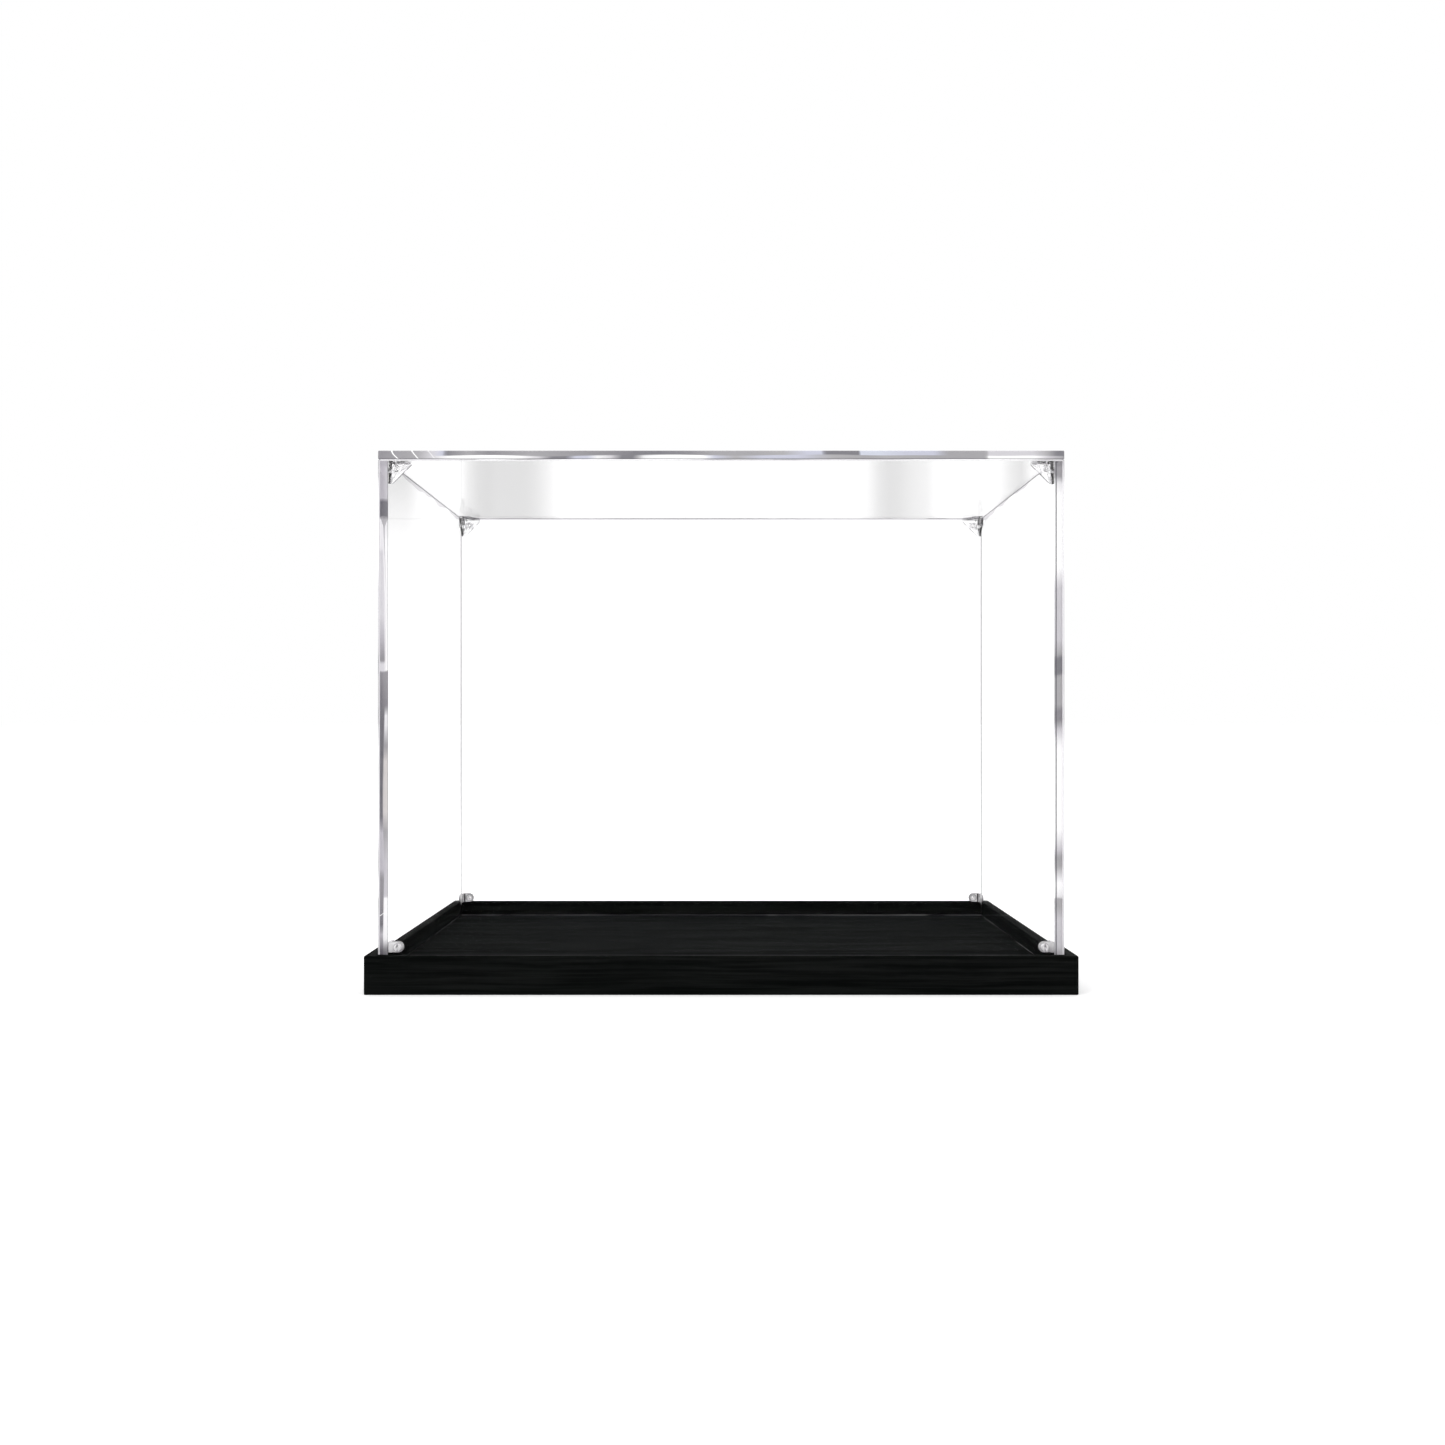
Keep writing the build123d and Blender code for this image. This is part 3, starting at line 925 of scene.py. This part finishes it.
def clear_sheet(node_name, cast_face, polished_edge):
    """A sheet with its two finishes, in the place of the CAD node."""
    low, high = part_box(node_name)
    thickness_axis = min(range(3), key=lambda axis: (high - low)[axis])
    shape = merged_copy(node_name)
    thin_sides = 0
    for face in shape.faces:
        face.smooth = False
        face.material_index = 0 if abs(face.normal[thickness_axis]) > SQUARE_ON else 1
        thin_sides += face.material_index
    mesh = bpy.data.meshes.new("clear_" + node_name)
    shape.to_mesh(mesh)
    shape.free()
    mesh.materials.append(cast_face)
    mesh.materials.append(polished_edge)
    piece = new_object("clear_" + node_name, mesh)
    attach(piece, "cover")
    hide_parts(node_name)
    print(piece.name, "has", len(mesh.polygons), "faces,", thin_sides, "of them thin sides")


for sheet_name, finish in SHEETS.items():
    clear_sheet(sheet_name, CAST_FACE, polished_edge_material(sheet_name, **finish))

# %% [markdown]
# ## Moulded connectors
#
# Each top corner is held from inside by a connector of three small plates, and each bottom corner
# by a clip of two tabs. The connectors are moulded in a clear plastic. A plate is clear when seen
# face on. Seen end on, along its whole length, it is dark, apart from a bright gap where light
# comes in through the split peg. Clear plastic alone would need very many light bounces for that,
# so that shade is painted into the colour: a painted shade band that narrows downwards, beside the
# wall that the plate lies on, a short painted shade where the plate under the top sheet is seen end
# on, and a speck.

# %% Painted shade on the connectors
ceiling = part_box("top_sheet")[0].z
# The width of the painted shade band on a plate seen end on, by the drop below the top sheet, in mm.
BAND_WIDTH = [
    (0.0, 0.0), (0.3, 1.9), (4.2, 2.0), (4.4, 0.0), (5.9, 0.0), (6.1, 1.9), (10.0, 0.9),
    (11.2, 0.7),
]
BAND_REACH = 12.0
BAND_SOFTNESS = 0.15 * MM
PEG_START = -0.1 * MM  # the band stops here, where a peg enters the wall
# Painted shade where the plate under the top sheet is seen end on.
LEVEL_PLATE_SHADE_ACROSS = (4.2 * MM, 8.0 * MM, 0.3 * MM)  # from, to, and how soft its ends are
LEVEL_PLATE_SHADE_DROP = (0.4 * MM, 1.3 * MM, 0.2 * MM)
LEVEL_PLATE_SHADE_STRENGTH = 0.8
SPECK_ACROSS = 2.9 * MM
SPECK_DROP = 1.4 * MM
SPECK_RADIUS = (0.35 * MM, 0.7 * MM)  # of its dark middle, and with its soft border
# The painted shade grows darker between these drops.
DARKENING = (1.0 * MM, 7.0 * MM)  # the drops between which the marks grow darker
LEVEL = 0.9  # how far up or down a level face looks, at the least
TILTED = 0.2  # and a face on the slanting rim of an upright plate


def band_mask(across, drop):
    """A mask for the painted shade band beside the wall."""
    share = maths("DIVIDE", drop, BAND_REACH * MM)
    stops = [(below / BAND_REACH, width / BAND_REACH) for below, width in BAND_WIDTH]
    width = times(colour_ramp(share, stops), BAND_REACH * MM)
    band = ramp(minus(across, width), -BAND_SOFTNESS, BAND_SOFTNESS, 1.0, 0.0, smooth=True)
    return times(band, maths("GREATER_THAN", across, PEG_START))


def level_plate_shade_mask(across, drop):
    """A mask for the painted shade where the level plate is seen end on, at its strength."""
    level_plate_shade = times(between(across, *LEVEL_PLATE_SHADE_ACROSS), between(drop, *LEVEL_PLATE_SHADE_DROP))
    return times(level_plate_shade, LEVEL_PLATE_SHADE_STRENGTH)


def speck_mask(across, drop):
    """A mask for the speck."""
    away = length(minus(across, SPECK_ACROSS), minus(drop, SPECK_DROP))
    return ramp(away, *SPECK_RADIUS, 1.0, 0.0, smooth=True)


def end_on_shade_group():
    """Where a plate gets painted shade because it is seen end on."""
    inputs = {"Place": VECTOR, "Normal": ("Vector", (0, 0, 1))}
    outputs = ["Marks", "Band", "Depth", "Across"]
    group, given, result = new_group("end_on_shade", inputs, outputs)
    corner = (inside_high.x, inside_high.y, 0.0)
    spot = vector_maths("ABSOLUTE", given["Place"])
    spot = separate(vector_maths("SUBTRACT", corner, spot))
    facing = separate(vector_maths("ABSOLUTE", given["Normal"]))
    to_front = maths("GREATER_THAN", facing["Y"], facing["X"])
    across = mix(to_front, spot["Y"], spot["X"])
    drop = maths("ADD", spot["Z"], ceiling)
    band = band_mask(across, drop)
    marks = maths("MAXIMUM", band, level_plate_shade_mask(across, drop))
    marks = maths("MAXIMUM", marks, speck_mask(across, drop))
    upright = maths("LESS_THAN", facing["Z"], LEVEL)
    fill(result["Marks"], times(marks, upright))
    not_ceiling_rim = maths("GREATER_THAN", facing["Z"], TILTED)
    fill(result["Band"], times(band, not_ceiling_rim))
    fill(result["Depth"], ramp(drop, *DARKENING))
    fill(result["Across"], across)
    return group


END_ON_SHADE = end_on_shade_group()

# %% [markdown]
# Four materials share these marks of painted shade. A connector's plates are clear. Its rims are
# dark in the painted shade band, and beside it the view goes almost straight through them. The
# clips are milkier, and show pale against the black tray, with a painted shade ring round the head
# of each peg and a painted shade line where a rim is seen end on.

# %% Clear moulding
MOULDING_IOR = 1.52
MOULDING_TINT = (0.82, 0.81, 0.83)
MOULDING_DENSITY = 60.0
MOULDING_PATCH = 4 * MM
MOULDING_ROUGHNESS = (0.03, 0.12)
FLOW_WAVES = 350.0  # to the metre
FLOW_BUMPS = (0.2, 0.03 * MM)  # strength and depth
# Painted shade where a plate is seen end on: grey just below the top sheet, darker further down.
END_ON_SHADE_GREY = (0.03, 0.029, 0.03)
END_ON_SHADE_DARK = (0.001, 0.001, 0.001)
PLATE_SHADE = (0.93, 0.93, 0.94)
RIM_SHADE = (0.8, 0.79, 0.8)
RIM_FAINTNESS = 0.10  # how solid a rim is beside its marks
RIM_SOLID_BAND = 0.7  # how strong the band is where the rim is fully solid
CLIP_MILK = (1.0, 0.99, 1.0)
CLIP_SHADE = (0.90, 0.89, 0.90)
# Painted shade: a line where a clip's rim is seen end on, and a ring round the head of its peg.
CLIP_SHADE_LINE = (0.12, 0.115, 0.12)
CLIP_SHADE_LINE_END = (1.7 * MM, 2.0 * MM)  # how far from the wall the line on a clip's rim fades out
PEG_HEAD_SHADE_RING = (1.75 * MM, 2.1 * MM, 0.15 * MM)  # its radii, and how soft its borders are
PEG_HEAD_SHADE_STRENGTH = 0.7
clip_low, clip_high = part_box("bottom_clip_front_left")
clip_height = (clip_low.z + clip_high.z) / 2
clip_peg_inset = clip_high.x - inside_low.x - (clip_high.z - clip_low.z) / 2
print("a clip's peg is", round(clip_peg_inset / MM, 2), "mm from the corner")


def moulding_material(name, colour_of, clearness, solid_of=None):
    """Moulded plastic. colour_of gives its base colour, and solid_of how solid it is."""
    material, tree, out = new_material(name)
    spot = add_node(tree, "ShaderNodeTexCoord")
    wiped = use_group(WIPED, Place=spot["Object"], Patch_Size=MOULDING_PATCH)
    finish = {
        "Base Color": colour_of(spot, wiped["Patches"]),
        "Roughness": ramp(wiped["Patches"], 0.0, 1.0, *MOULDING_ROUGHNESS),
        "IOR": MOULDING_IOR,
        "Transmission Weight": clearness,
        "Normal": bump(noise(spot["Object"], FLOW_WAVES), *FLOW_BUMPS),
    }
    if solid_of:
        finish["Alpha"] = solid_of(spot)
    skin = follow("ShaderNodeBsdfPrincipled", finish)[0]
    clear_shell(tree, out, skin, MOULDING_TINT, MOULDING_DENSITY)
    return material


def end_on_shade(spot):
    """The marks at a spot."""
    return use_group(END_ON_SHADE, Place=spot["Object"], Normal=spot["Normal"])


def with_end_on_shade(spot, which, colour):
    """A colour with the painted end-on shade over it."""
    seen = end_on_shade(spot)
    mark = blend(seen["Depth"], END_ON_SHADE_GREY, END_ON_SHADE_DARK)
    return blend(seen[which], colour, mark)


def plate_colour(spot, patches):
    """Clear, with all the painted shade."""
    return with_end_on_shade(spot, "Marks", blend(patches, WHITE, PLATE_SHADE))


def rim_colour(spot, patches):
    """A little greyer, with the painted shade band alone."""
    return with_end_on_shade(spot, "Band", blend(patches, WHITE, RIM_SHADE))


def rim_solid(spot):
    """A rim is solid in its painted shade band. Elsewhere the view goes almost straight through it.
    """
    return ramp(end_on_shade(spot)["Band"], 0.0, RIM_SOLID_BAND, RIM_FAINTNESS, 1.0)


def clip_colour(spot, patches):
    """Milky, with a painted shade ring round the head of the peg."""
    along = minus(end_on_shade(spot)["Across"], clip_peg_inset)
    up = minus(separate(spot["Object"])["Z"], clip_height)
    shade_ring = times(between(length(along, up), *PEG_HEAD_SHADE_RING), PEG_HEAD_SHADE_STRENGTH)
    return blend(shade_ring, blend(patches, CLIP_MILK, CLIP_SHADE), CLIP_SHADE_LINE)


def clip_rim_colour(spot, patches):
    """Milky, with a painted shade line near the wall. A rim is too narrow for the patches to show.
    """
    end_on = ramp(end_on_shade(spot)["Across"], *CLIP_SHADE_LINE_END, 1.0, 0.0, smooth=True)
    return blend(end_on, CLIP_SHADE_LINE, CLIP_MILK)


CLEAR_PLATE = moulding_material("moulding_clear_plate", plate_colour, 1.0)
RIM_WITH_PAINTED_SHADE = moulding_material("moulding_rim_painted_shade", rim_colour, 0.75, solid_of=rim_solid)
MILKY_CLIP = moulding_material("moulding_milky_clip", clip_colour, 0.25)
CLIP_RIM_WITH_PAINTED_SHADE = moulding_material("moulding_clip_rim", clip_rim_colour, 0.60)

# %% [markdown]
# The four connectors are one shape, turned a quarter from corner to corner, and so are the four
# clips. Geometry Nodes place them. The shape for the front left corner comes in at the origin. A
# grid of two by two points gives the corners, and each point's direction from the middle gives its
# turn. The instances are made real, because only real meshes leave Blender with the model.

# %% Corner placement
FRONT_LEFT_TURN = 135  # degrees from the front left corner's direction to no turn


def corner_tree(plate, rim):
    """A node tree that puts a shape in each corner of a rectangle, turned to face the middle."""
    tree = bpy.data.node_groups.new("in_every_corner", "GeometryNodeTree")
    face = tree.interface
    for name, kind in {"Shape": "Geometry", "Width": "Float", "Depth": "Float"}.items():
        face.new_socket(name, in_out="INPUT", socket_type="NodeSocket" + kind)
    face.new_socket("Geometry", in_out="OUTPUT", socket_type="NodeSocketGeometry")
    given = tree.nodes.new("NodeGroupInput").outputs
    out = tree.nodes.new("NodeGroupOutput")
    grid = {"Size X": given["Width"], "Size Y": given["Depth"], "Vertices X": 2, "Vertices Y": 2}
    corners = follow("GeometryNodeMeshGrid", grid)["Mesh"]
    part = separate(add_node(tree, "GeometryNodeInputPosition")[0])
    turn = maths("ARCTAN2", maths("SIGN", part["Y"]), maths("SIGN", part["X"]))
    turn = maths("ADD", turn, math.radians(FRONT_LEFT_TURN))
    angles = follow("ShaderNodeCombineXYZ", {"Z": turn})[0]
    turned = follow("FunctionNodeEulerToRotation", {0: angles})[0]
    copies = {"Points": corners, "Instance": given["Shape"], "Rotation": turned}
    placed = follow("GeometryNodeInstanceOnPoints", copies)[0]
    real = follow("GeometryNodeRealizeInstances", {0: placed})[0]
    plates = follow("GeometryNodeSetMaterial", {"Geometry": real, "Material": plate})[0]
    marks = add_node(tree, "GeometryNodeInputNamedAttribute", {"Name": "rim"}, data_type="BOOLEAN")
    rims = {"Geometry": plates, "Selection": marks["Attribute"], "Material": rim}
    rims = follow("GeometryNodeSetMaterial", rims)[0]
    fill(out.inputs[0], rims)
    return tree


# %% [markdown]
# The shape is a merged copy of the front left node, moved so that the cover's inner corner is at
# the origin. Its faces are shaded smooth across the small rounded edges, and stay crisp where two
# faces meet at a sharper angle. A face belongs to the rim if it looks along none of the axes or
# lies at a plate's tip. The pegs, which stand out beyond the inner corner, stay clear.

# %% Connectors and clips
CRISP_ANGLE = 40  # degrees between two faces that meet crisply
TIP_REACH = 0.02 * MM  # how near the end a face at a plate's tip is


def is_rim(face, reach):
    """Whether a face of the front left shape is part of a plate's rim."""
    place = face.calc_center_median()
    in_peg = place.x < 0 or place.y < 0 or place.z > ceiling
    square_on = max(abs(value) for value in face.normal) > SQUARE_ON
    at_tip = max(place.x, place.y) > reach - TIP_REACH
    return not in_peg and (at_tip or not square_on)


def front_left_shape(name, family):
    """A mesh of the front left node of a family, with its rim marked."""
    shape = merged_copy(family + "_front_left")
    bmesh.ops.translate(shape, verts=shape.verts, vec=-inside_low)
    reach = max(vertex.co.x for vertex in shape.verts)
    rim_layer = shape.faces.layers.bool.new("rim")
    for face in shape.faces:
        face[rim_layer] = is_rim(face, reach)
    mesh = bpy.data.meshes.new(name + "_shape")
    shape.to_mesh(mesh)
    shape.free()
    mesh.shade_smooth()
    mesh.set_sharp_from_angle(angle=math.radians(CRISP_ANGLE))
    return mesh


def at_every_corner(name, family, plate, rim):
    """One piece that stands for a family of four CAD nodes."""
    source = new_object(name + "_source", front_left_shape(name, family))
    modifier = source.modifiers.new("corners", "NODES")
    modifier.node_group = corner_tree(plate, rim)
    sizes = {"Width": inside.x, "Depth": inside.y}
    for socket in modifier.node_group.interface.items_tree:
        if socket.name in sizes:
            modifier[socket.identifier] = sizes[socket.name]
    depsgraph = bpy.context.evaluated_depsgraph_get()
    made = bpy.data.meshes.new_from_object(source.evaluated_get(depsgraph), depsgraph=depsgraph)
    bpy.data.objects.remove(source)
    piece = new_object(name, made)
    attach(piece, "cover")
    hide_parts(*[node_name for node_name in nodes if node_name.startswith(family + "_")])
    print(name, "has", len(made.polygons), "faces")


at_every_corner("moulded_top_connectors", "top_connector", CLEAR_PLATE, RIM_WITH_PAINTED_SHADE)
at_every_corner("moulded_bottom_clips", "bottom_clip", MILKY_CLIP, CLIP_RIM_WITH_PAINTED_SHADE)
